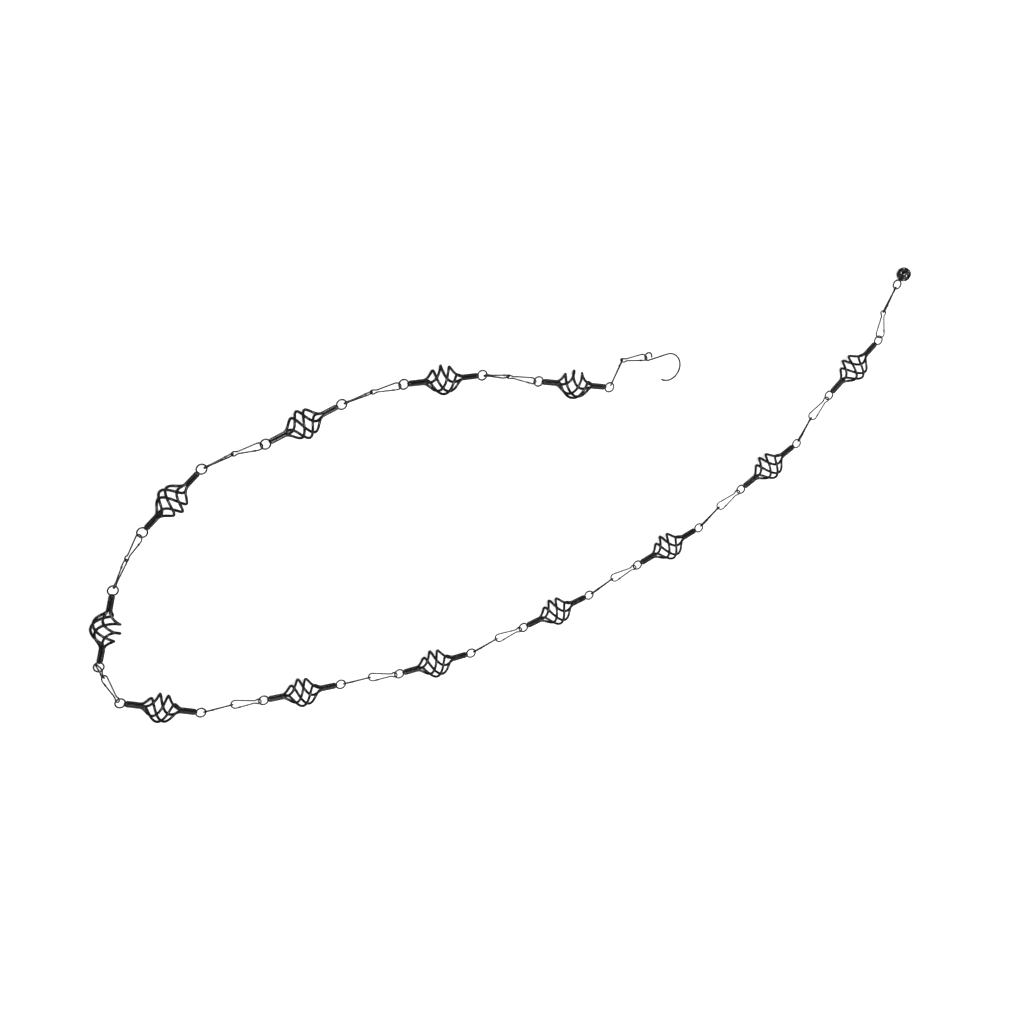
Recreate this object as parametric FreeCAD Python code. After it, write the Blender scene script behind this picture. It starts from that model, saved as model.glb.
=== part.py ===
import FreeCAD, Part
import math
import os

os.makedirs("parts", exist_ok=True)

Vector = FreeCAD.Vector
Rotation = FreeCAD.Rotation
Placement = FreeCAD.Placement

# Stock sizes and clearances
rod_dia = 3.5
ring_wire_dia = 2.2
link_wire_dia = 2.0
hook_wire_dia = 2.2
rod_gap = 0.15
clearance = 0.3

# Basket: four rods twisted into an open belly, with a ring welded on each end
basket_count = 12
rod_count = 4
rod_length = 90.0
belly_length = 54.0
belly_dia = 40.0
belly_twist = -265.0
belly_phase = 32.0
twist_gathering = 0.6
belly_steps = 28
straight_steps = 5
ring_outside_dia = 15.0
weld_gap = 0.5
weld_bead_dia = 6.8

# Pear link: a wide end, straight sides, a neck and a small eye
link_length = 41.3
big_end_dia = 13.0
small_eye_dia = 8.6
neck_width = 5.7
neck_bend_radius = 8.0
link_joint_dia = 2.7
link_joint_length = 3.4
link_joint_place = 0.12
link_joint_rounding = 0.5

# Hook: an eye, a straight shank and a wide bend
hook_eye_dia = 13.0
hook_shank_length = 30.0
hook_bend_radius = 19.0
hook_bend_angle = 222.0
hook_tip_length = 5.0

# Ball: a pierced shell on its own ring
ball_dia = 20.0
ball_wall = 1.5
ball_hole_dia = 6.4
ball_weld_depth = 0.6

# Course of the chain on the floor, in degrees from the X axis
hook_heading = 193
link_headings = [
    (185, 236), (172, 170), (194, 197), (197, 201), (242, 245), (285, 297),
    (4, 4), (3, 3), (21, 22), (28, 29), (41, 42), (60, 58), (78, 70),
]
basket_headings = [173, 184, 206, 227, 259, 344, 5, 10, 22, 28, 38, 49]
ball_heading = 60

# Roll of each piece about its own length, in degrees from lying flat
basket_rolls = [0, 0, 0, 0, 0, 0, 0, 0, 0, 0, 0, 0]
link_rolls = (60, 128)
last_link_rolls = (128, 60)

# Heights over the floor of the hook's eye and of the middle of each pair of links
hook_eye_height = 6.0
mid_heights = [7, 12, 16, 16, 16, 10, 16, 16, 16, 16, 16, 16, 10]

# One link lies pushed back through the ring that holds it
loose_gap = 5
loose_slack = 16.6

# Sizes that follow from the ones above
bundle_radius = (rod_dia + rod_gap) / math.sqrt(2)
belly_radius = (belly_dia - rod_dia) / 2
ring_radius = (ring_outside_dia - ring_wire_dia) / 2
big_end_radius = (big_end_dia - link_wire_dia) / 2
small_eye_radius = (small_eye_dia - link_wire_dia) / 2
neck_half = (neck_width - link_wire_dia) / 2
link_reach = link_length - link_wire_dia
link_eye_place = link_reach - small_eye_radius
hook_eye_radius = (hook_eye_dia - hook_wire_dia) / 2
rod_start = 2 * ring_radius + ring_wire_dia / 2 + weld_gap
straight_length = (rod_length - belly_length) / 2
basket_reach = rod_length + 2 * rod_start
ball_radius = ball_dia / 2
axis_height = belly_dia / 2
hook_eye_drop = hook_eye_height - hook_wire_dia / 2
hook_low_reach = hook_eye_radius + hook_shank_length + hook_bend_radius
hook_rise = math.degrees(math.asin(hook_eye_drop / hook_low_reach))
ball_centre = 2 * ring_radius + ring_wire_dia / 2 + ball_radius - ball_weld_depth


def line(start, end):
    return Part.makeLine(start, end)


def arc(start, middle, end):
    return Part.Arc(start, middle, end).toShape()


def circle_arc(centre, radius, first, last):
    points = []
    for degrees in (first, (first + last) / 2, last):
        turn = math.radians(degrees)
        points.append(centre + Vector(radius * math.cos(turn), radius * math.sin(turn), 0))
    return arc(*points)


def mirrored(point):
    return Vector(point.x, -point.y, point.z)


def bent_wire(path, diameter, start, direction):
    section = Part.Wire(Part.makeCircle(diameter / 2, start, direction))
    return path.makePipeShell([section], True, False)


# Ring and weld bead
def seam_aside(solid, centre_x):
    return solid.rotate(Vector(centre_x, 0, 0), Vector(0, 0, 1), 90)


def ring_path(centre_x):
    return Part.Wire(Part.makeCircle(ring_radius, Vector(centre_x, 0, 0)))


def bead_solid(centre_x, diameter):
    bead = Part.makeSphere(diameter / 2, Vector(centre_x, 0, 0))
    return seam_aside(bead, centre_x)


def ring_solid(centre_x):
    ring = Part.makeTorus(ring_radius, ring_wire_dia / 2, Vector(centre_x, 0, 0))
    return seam_aside(ring, centre_x)


# Basket
def belly_point(part_way, first_angle):
    swell = math.sin(math.pi * part_way) ** 2
    fullness = swell * (3 - swell) / 2
    radius = bundle_radius + (belly_radius - bundle_radius) * fullness
    gathered = part_way - twist_gathering * math.sin(2 * math.pi * part_way) / (2 * math.pi)
    angle = math.radians(first_angle + belly_twist * gathered)
    along = rod_start + straight_length + belly_length * part_way
    return Vector(along, radius * math.cos(angle), radius * math.sin(angle))


def rod_points(first_angle):
    belly = [belly_point(step / belly_steps, first_angle) for step in range(belly_steps + 1)]
    spacing = Vector(straight_length / straight_steps, 0, 0)
    lead = [belly[0] - spacing * step for step in range(straight_steps, 0, -1)]
    tail = [belly[-1] + spacing * step for step in range(1, straight_steps + 1)]
    return lead + belly + tail


def rod_solid(first_angle):
    points = rod_points(first_angle)
    curve = Part.BSplineCurve()
    curve.interpolate(points)
    axis_start = Vector(rod_start, 0, 0)
    axis_end = Vector(rod_start + rod_length, 0, 0)
    sweep = Part.BRepOffsetAPI.MakePipeShell(Part.Wire(curve.toShape()))
    sweep.setAuxiliarySpine(Part.Wire(line(axis_start, axis_end)), False, 0)
    sweep.add(Part.Wire(Part.makeCircle(rod_dia / 2, points[0], Vector(1, 0, 0))), False, False)
    sweep.build()
    sweep.makeSolid()
    return sweep.shape()


def basket_solid():
    first_angle = belly_phase - belly_twist / 2
    rods = [rod_solid(first_angle + 360 * number / rod_count) for number in range(rod_count)]
    ends = []
    for ring_x, bead_x in (
        (ring_radius, rod_start),
        (basket_reach - ring_radius, basket_reach - rod_start),
    ):
        ends.append(ring_solid(ring_x))
        ends.append(bead_solid(bead_x, weld_bead_dia))
    return rods[0].multiFuse(rods[1:] + ends).Solids[0]


# Pear link
def link_marks():
    eye = Vector(link_reach - small_eye_radius, 0, 0)
    big = Vector(big_end_radius, 0, 0)
    neck_y = neck_half + neck_bend_radius
    back = math.sqrt((small_eye_radius + neck_bend_radius) ** 2 - neck_y ** 2)
    neck = Vector(eye.x - back, neck_y, 0)
    span = neck - big
    slope = math.atan2(span.y, span.x) - math.asin((big_end_radius + neck_bend_radius) / span.Length)
    outward = Vector(-math.sin(slope), math.cos(slope), 0)
    side_start = big + outward * big_end_radius
    side_end = neck - outward * neck_bend_radius
    touch = eye + (neck - eye) * (small_eye_radius / (neck - eye).Length)
    return neck, side_start, side_end, touch


def link_path():
    neck, side_start, side_end, touch = link_marks()
    bend_middle = neck + ((side_end + touch) * 0.5 - neck).normalize() * neck_bend_radius
    return Part.Wire([
        line(mirrored(side_end), mirrored(side_start)),
        arc(mirrored(side_start), Vector(0, 0, 0), side_start),
        line(side_start, side_end),
        arc(side_end, bend_middle, touch),
        arc(touch, Vector(link_reach, 0, 0), mirrored(touch)),
        arc(mirrored(touch), mirrored(bend_middle), mirrored(side_end)),
    ])


def link_joint():
    neck, side_start, side_end, touch = link_marks()
    side = side_end - side_start
    start = side_start + side * link_joint_place
    bead = Part.makeCylinder(link_joint_dia / 2, link_joint_length, start, side)
    return bead.makeFillet(link_joint_rounding, [bead.Edges[0], bead.Edges[2]])


def link_solid():
    neck, side_start, side_end, touch = link_marks()
    way = mirrored(side_start) - mirrored(side_end)
    loop = bent_wire(link_path(), link_wire_dia, mirrored(side_end), way)
    return loop.fuse(link_joint()).Solids[0]


# Hook
def hook_marks():
    eye = Vector(-hook_eye_radius, 0, 0)
    shank_end = eye + Vector(0, hook_eye_radius, 0)
    shank_start = shank_end - Vector(hook_shank_length, 0, 0)
    bend = shank_start + Vector(0, hook_bend_radius, 0)
    mouth = math.radians(270 - hook_bend_angle)
    mouth_start = bend + Vector(math.cos(mouth), math.sin(mouth), 0) * hook_bend_radius
    tip_way = Vector(-math.sin(mouth), math.cos(mouth), 0)
    return eye, shank_end, shank_start, bend, mouth_start, tip_way


def hook_path():
    eye, shank_end, shank_start, bend, mouth_start, tip_way = hook_marks()
    eye_opening = math.degrees(math.acos(1 - (hook_wire_dia + clearance) / hook_eye_radius))
    return Part.Wire([
        line(mouth_start + tip_way * hook_tip_length, mouth_start),
        circle_arc(bend, hook_bend_radius, 270 - hook_bend_angle, 270),
        line(shank_start, shank_end),
        circle_arc(eye, hook_eye_radius, 90, eye_opening - 270),
    ])


def hook_solid():
    eye, shank_end, shank_start, bend, mouth_start, tip_way = hook_marks()
    return bent_wire(hook_path(), hook_wire_dia, mouth_start + tip_way * hook_tip_length, tip_way)


# Ball
def ball_solid():
    centre = Vector(ball_centre, 0, 0)
    shell = Part.makeSphere(ball_radius, centre)
    shell = shell.cut(Part.makeSphere(ball_radius - ball_wall, centre))
    ways = [Vector(1, 1, 0), Vector(1, -1, 0), Vector(0, 0, 1)]
    ways += [Vector(math.sqrt(2), 0, 1), Vector(math.sqrt(2), 0, -1)]
    ways += [Vector(0, math.sqrt(2), 1), Vector(0, math.sqrt(2), -1)]
    for way in ways:
        start = centre - way.normalize() * ball_dia
        shell = shell.cut(Part.makeCylinder(ball_hole_dia / 2, 2 * ball_dia, start, way))
    bead_x = 2 * ring_radius + ring_wire_dia / 2
    bead = bead_solid(bead_x, 2 * ring_wire_dia)
    return shell.multiFuse([ring_solid(ring_radius), bead]).Solids[0]


# Seating: each loop is pulled away from the wire that holds it
def moved(shape, place):
    copy = shape.copy()
    copy.Placement = place
    return copy


def loop_in_place(path, place, centre_x, radius, wire_dia):
    return {
        "path": moved(path, place),
        "centre": place.multVec(Vector(centre_x, 0, 0)),
        "normal": place.Rotation.multVec(Vector(0, 0, 1)),
        "radius": radius,
        "wire_dia": wire_dia,
    }


def spacing(held, wire_dia):
    return (held["wire_dia"] + wire_dia) / 2 + clearance


def contact_point(held, way):
    in_plane = way - held["normal"] * way.dot(held["normal"])
    return held["centre"] + in_plane.normalize() * held["radius"]


def seat(held, path, contact, lead, turn, pull, wire_dia):
    loose = small_eye_radius
    tight = 0.0
    for step in range(16):
        depth = (loose + tight) / 2
        trial = moved(path, Placement(contact + lead - pull * depth, turn))
        if trial.distToShape(held["path"])[0] < spacing(held, wire_dia):
            tight = depth
        else:
            loose = depth
    return Placement(contact + lead - pull * loose, turn)


def lay_hook():
    turn = Rotation(hook_heading, -hook_rise, 0)
    place = Placement(Vector(0, 0, hook_eye_height), turn)
    eye = loop_in_place(hook_path(), place, -hook_eye_radius, hook_eye_radius, hook_wire_dia)
    return place, eye


def lay_link(held, heading, height, roll, slack):
    level = Rotation(heading, 0, 0).multVec(Vector(1, 0, 0))
    contact = contact_point(held, level)
    free_length = link_eye_place - spacing(held, link_wire_dia) - slack
    rise = math.degrees(math.asin((height - contact.z) / free_length))
    turn = Rotation(heading, -rise, roll)
    pull = turn.multVec(Vector(1, 0, 0))
    place = seat(held, link_path(), contact, Vector(0, 0, 0), turn, pull, link_wire_dia)
    place.Base = place.Base - pull * slack
    eye = loop_in_place(link_path(), place, link_eye_place, small_eye_radius, link_wire_dia)
    return place, eye


def lay_ringed(held, heading, roll, pull_heading):
    turn = Rotation(heading, 0, roll)
    pull = Rotation(pull_heading, 0, 0).multVec(Vector(1, 0, 0))
    contact = contact_point(held, pull)
    lead = (pull - turn.multVec(Vector(1, 0, 0))) * ring_radius
    return seat(held, ring_path(ring_radius), contact, lead, turn, pull, ring_wire_dia)


def lay_chain():
    basket = basket_solid()
    link = link_solid()
    place, held = lay_hook()
    laid = [("hook", hook_solid(), place)]
    roll = 0
    for gap in range(basket_count + 1):
        last = gap == basket_count
        heights = (mid_heights[gap], ball_radius if last else axis_height)
        rolls = last_link_rolls if last else link_rolls
        for side in (0, 1):
            loose = gap == loose_gap and side == 0
            heading = link_headings[gap][side]
            link_roll = roll + rolls[side]
            slack = loose_slack if loose else 0.0
            place, held = lay_link(held, heading, heights[side], link_roll, slack)
            laid.append(("link_%02d" % (2 * gap + side + 1), link, place))
        if last:
            laid.append(("ball", ball_solid(), lay_ringed(held, ball_heading, 0, heading)))
            continue
        roll = basket_rolls[gap]
        place = lay_ringed(held, basket_headings[gap], roll, heading)
        laid.append(("basket_%02d" % (gap + 1), basket, place))
        far_x = basket_reach - ring_radius
        held = loop_in_place(ring_path(far_x), place, far_x, ring_radius, ring_wire_dia)
    return laid


laid_chain = lay_chain()
solids = [moved(shape, place) for name, shape, place in laid_chain]
bounds = Part.makeCompound(solids).optimalBoundingBox()
to_origin = Vector(-bounds.Center.x, -bounds.Center.y, -bounds.ZMin)
for (name, shape, place), solid in zip(laid_chain, solids):
    solid.translate(to_origin)
    solid.exportStep("parts/%s.step" % name)
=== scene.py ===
import math

import bpy
from mathutils import Matrix, Vector

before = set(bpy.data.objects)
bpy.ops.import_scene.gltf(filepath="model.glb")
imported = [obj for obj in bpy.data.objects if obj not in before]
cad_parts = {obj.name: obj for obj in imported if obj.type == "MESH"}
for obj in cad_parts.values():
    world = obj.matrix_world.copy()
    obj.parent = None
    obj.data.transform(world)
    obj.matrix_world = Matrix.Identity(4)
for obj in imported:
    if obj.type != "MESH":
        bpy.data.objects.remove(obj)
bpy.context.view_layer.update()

# Camera: the photograph looks down from 57.5 degrees above the floor, turned in the picture plane
photo_size_px = 1024
photo_focal_px = 1405
sensor_width = 36.0
tilt_from_vertical = math.radians(32.5)
aim = Vector((-0.0200, -0.0341, 0.020))
camera_distance = 1.902
far_clip = 50

# Colours of the painted metal, in linear colour
paint_dark = (0.0030, 0.0026, 0.0036, 1.0)
paint_light = (0.0095, 0.0085, 0.0110, 1.0)
rubbed_grey = (0.085, 0.081, 0.089, 1.0)
black = (0, 0, 0, 1)
white = (1, 1, 1, 1)

# Patterns on the metal: noise levels where a colour starts and is full, and pattern sizes per metre
mottle_start, mottle_full = 0.35, 0.68
rubbed_start, rubbed_full = 0.60, 0.78
mottle_scale = 260
rubbed_scale = 170
gloss_scale = 420
hammer_scale = 300
grain_scale = 1500

# Gloss and relief of the metal, with depths in metres
smoothest, roughest = 0.20, 0.38
specular_level = 0.45
hammer_strength, hammer_depth = 0.35, 0.0004
grain_strength, grain_depth = 0.25, 0.0001

# How much of each kind of piece is rubbed, and the shift of its patterns
wear_and_shift = {
    "basket": (0.02, 1.0),
    "link": (0.06, 4.0),
    "hook": (0.05, 7.0),
    "ball": (0.05, 9.0),
}

# Floor and world: what a mirrored ray sees is darker, so that the metal stays black
floor_half = 15.0
floor_roughness = 0.9
floor_colour = (0.82, 0.82, 0.82, 1.0)
mirrored_floor_colour = (0.10, 0.10, 0.11, 1.0)
near_floor_glow = 0.30
far_floor_glow = 0.56
near_floor_radius = 0.8
far_floor_radius = 2.2
world_strength = 0.55
seen_world_strength = 1.0
mirrored_world_strength = 0.08

# Lamps: place, side of the square and watts
lamps = {
    "key": ((-0.6, 0.9, 2.2), 0.6, 48),
    "fill": ((1.8, 0.6, 1.8), 1.8, 26),
    "rim": ((0.2, -2.0, 1.6), 1.4, 22),
}


def add_camera():
    ground_way = Vector((1, -1, 0)).normalized()
    forward = ground_way * math.sin(tilt_from_vertical) - Vector((0, 0, math.cos(tilt_from_vertical)))
    level_right = forward.cross(Vector((0, 0, 1))).normalized()
    level_up = level_right.cross(forward)
    right = (level_up - level_right).normalized()
    up = (-level_up - level_right).normalized()
    place = Matrix((right, up, -forward)).transposed().to_4x4()
    place.translation = aim - forward * camera_distance
    data = bpy.data.cameras.new("camera")
    data.sensor_fit = "HORIZONTAL"
    data.sensor_width = sensor_width
    data.lens = photo_focal_px / photo_size_px * sensor_width
    data.clip_end = far_clip
    camera = bpy.data.objects.new("camera", data)
    camera.matrix_world = place
    bpy.context.collection.objects.link(camera)
    bpy.context.scene.camera = camera


def node_of(tree, kind, **values):
    node = tree.nodes.new(kind)
    for name, value in values.items():
        if name in node.inputs:
            node.inputs[name].default_value = value
        else:
            setattr(node, name, value)
    return node


def empty_material(name):
    material = bpy.data.materials.new(name)
    material.use_nodes = True
    material.node_tree.nodes.clear()
    return material, material.node_tree


def two_colours(tree, level, start, first, full, second):
    node = node_of(tree, "ShaderNodeValToRGB")
    for element, position, colour in zip(node.color_ramp.elements, (start, full), (first, second)):
        element.position = position
        element.color = colour
    tree.links.new(level, node.inputs["Fac"])
    return node.outputs["Color"]


def painted_metal(name, wear, shift):
    material, tree = empty_material(name)
    place = node_of(tree, "ShaderNodeTexCoord")
    shifted = node_of(tree, "ShaderNodeVectorMath", operation="ADD")
    shifted.inputs[1].default_value = (shift, 0.3 * shift, 0.7 * shift)
    tree.links.new(place.outputs["Object"], shifted.inputs[0])

    def noise(scale, detail, roughness=0.5):
        texture = node_of(tree, "ShaderNodeTexNoise", Scale=scale, Detail=detail, Roughness=roughness)
        tree.links.new(shifted.outputs["Vector"], texture.inputs["Vector"])
        return texture.outputs["Fac"]

    def relief(height, strength, depth):
        bump = node_of(tree, "ShaderNodeBump", Strength=strength, Distance=depth)
        tree.links.new(height, bump.inputs["Height"])
        return bump

    mottle = two_colours(tree, noise(mottle_scale, 4), mottle_start, paint_dark, mottle_full, paint_light)
    rubbed_noise = noise(rubbed_scale, 6, 0.62)
    rubbed = two_colours(tree, rubbed_noise, rubbed_start - wear, black, rubbed_full - wear, white)
    colour = node_of(tree, "ShaderNodeMix", data_type="RGBA")
    tree.links.new(rubbed, colour.inputs["Factor"])
    tree.links.new(mottle, colour.inputs["A"])
    colour.inputs["B"].default_value = rubbed_grey

    gloss = node_of(tree, "ShaderNodeMapRange")
    gloss.inputs["To Min"].default_value = smoothest
    gloss.inputs["To Max"].default_value = roughest
    tree.links.new(noise(gloss_scale, 3), gloss.inputs["Value"])

    hammer = node_of(tree, "ShaderNodeTexVoronoi", feature="SMOOTH_F1", Scale=hammer_scale)
    tree.links.new(shifted.outputs["Vector"], hammer.inputs["Vector"])
    dents = relief(hammer.outputs["Distance"], hammer_strength, hammer_depth)
    grain = relief(noise(grain_scale, 3), grain_strength, grain_depth)
    tree.links.new(dents.outputs["Normal"], grain.inputs["Normal"])

    surface = node_of(tree, "ShaderNodeBsdfPrincipled", Metallic=0.0)
    surface.inputs["Specular IOR Level"].default_value = specular_level
    tree.links.new(colour.outputs["Result"], surface.inputs["Base Color"])
    tree.links.new(gloss.outputs["Result"], surface.inputs["Roughness"])
    tree.links.new(grain.outputs["Normal"], surface.inputs["Normal"])
    output = node_of(tree, "ShaderNodeOutputMaterial")
    tree.links.new(surface.outputs["BSDF"], output.inputs["Surface"])
    return material


def floor_material():
    material, tree = empty_material("floor")
    surface = node_of(tree, "ShaderNodeBsdfPrincipled", Roughness=floor_roughness)
    surface.inputs["Specular IOR Level"].default_value = 0.0
    rays = node_of(tree, "ShaderNodeLightPath")
    colour = node_of(tree, "ShaderNodeMix", data_type="RGBA")
    tree.links.new(rays.outputs["Is Glossy Ray"], colour.inputs["Factor"])
    colour.inputs["A"].default_value = floor_colour
    colour.inputs["B"].default_value = mirrored_floor_colour
    tree.links.new(colour.outputs["Result"], surface.inputs["Base Color"])

    place = node_of(tree, "ShaderNodeNewGeometry")
    radius = node_of(tree, "ShaderNodeVectorMath", operation="LENGTH")
    tree.links.new(place.outputs["Position"], radius.inputs[0])
    level = node_of(tree, "ShaderNodeMapRange")
    level.inputs["From Min"].default_value = near_floor_radius
    level.inputs["From Max"].default_value = far_floor_radius
    level.inputs["To Min"].default_value = near_floor_glow
    level.inputs["To Max"].default_value = far_floor_glow
    tree.links.new(radius.outputs["Value"], level.inputs["Value"])
    seen = node_of(tree, "ShaderNodeMath", operation="MULTIPLY")
    tree.links.new(rays.outputs["Is Camera Ray"], seen.inputs[0])
    tree.links.new(level.outputs["Result"], seen.inputs[1])
    glow = node_of(tree, "ShaderNodeEmission")
    tree.links.new(seen.outputs["Value"], glow.inputs["Strength"])

    both = node_of(tree, "ShaderNodeAddShader")
    tree.links.new(surface.outputs["BSDF"], both.inputs[0])
    tree.links.new(glow.outputs["Emission"], both.inputs[1])
    output = node_of(tree, "ShaderNodeOutputMaterial")
    tree.links.new(both.outputs["Shader"], output.inputs["Surface"])
    return material


def add_floor():
    corners = [(x * floor_half, y * floor_half, 0) for x, y in ((-1, -1), (1, -1), (1, 1), (-1, 1))]
    mesh = bpy.data.meshes.new("floor")
    mesh.from_pydata(corners, [], [(0, 1, 2, 3)])
    mesh.materials.append(floor_material())
    floor = bpy.data.objects.new("floor", mesh)
    bpy.context.collection.objects.link(floor)


def add_world():
    world = bpy.data.worlds.new("studio")
    world.use_nodes = True
    tree = world.node_tree
    tree.nodes.clear()
    rays = node_of(tree, "ShaderNodeLightPath")
    mirrored = node_of(tree, "ShaderNodeMix", data_type="FLOAT", A=world_strength, B=mirrored_world_strength)
    tree.links.new(rays.outputs["Is Glossy Ray"], mirrored.inputs["Factor"])
    seen = node_of(tree, "ShaderNodeMix", data_type="FLOAT", B=seen_world_strength)
    tree.links.new(rays.outputs["Is Camera Ray"], seen.inputs["Factor"])
    tree.links.new(mirrored.outputs["Result"], seen.inputs["A"])
    background = node_of(tree, "ShaderNodeBackground", Color=white)
    tree.links.new(seen.outputs["Result"], background.inputs["Strength"])
    output = node_of(tree, "ShaderNodeOutputWorld")
    tree.links.new(background.outputs["Background"], output.inputs["Surface"])
    bpy.context.scene.world = world


def add_lamp(name, place, side, watts):
    data = bpy.data.lights.new(name, "AREA")
    data.shape = "SQUARE"
    data.size = side
    data.energy = watts
    lamp = bpy.data.objects.new(name, data)
    to_middle = -Vector(place)
    lamp.matrix_world = Matrix.Translation(place) @ to_middle.to_track_quat("-Z", "Y").to_matrix().to_4x4()
    bpy.context.collection.objects.link(lamp)


def dress_nodes():
    finishes = {kind: painted_metal(kind + "_paint", *values) for kind, values in wear_and_shift.items()}
    for name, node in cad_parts.items():
        finish = finishes[name.split("_")[0]]
        if not node.material_slots:
            node.data.materials.append(finish)
        for slot in node.material_slots:
            slot.material = finish


add_camera()
add_world()
add_floor()
for lamp_name, (lamp_place, lamp_side, lamp_watts) in lamps.items():
    add_lamp(lamp_name, lamp_place, lamp_side, lamp_watts)
dress_nodes()

bpy.context.scene.view_settings.view_transform = "Standard"
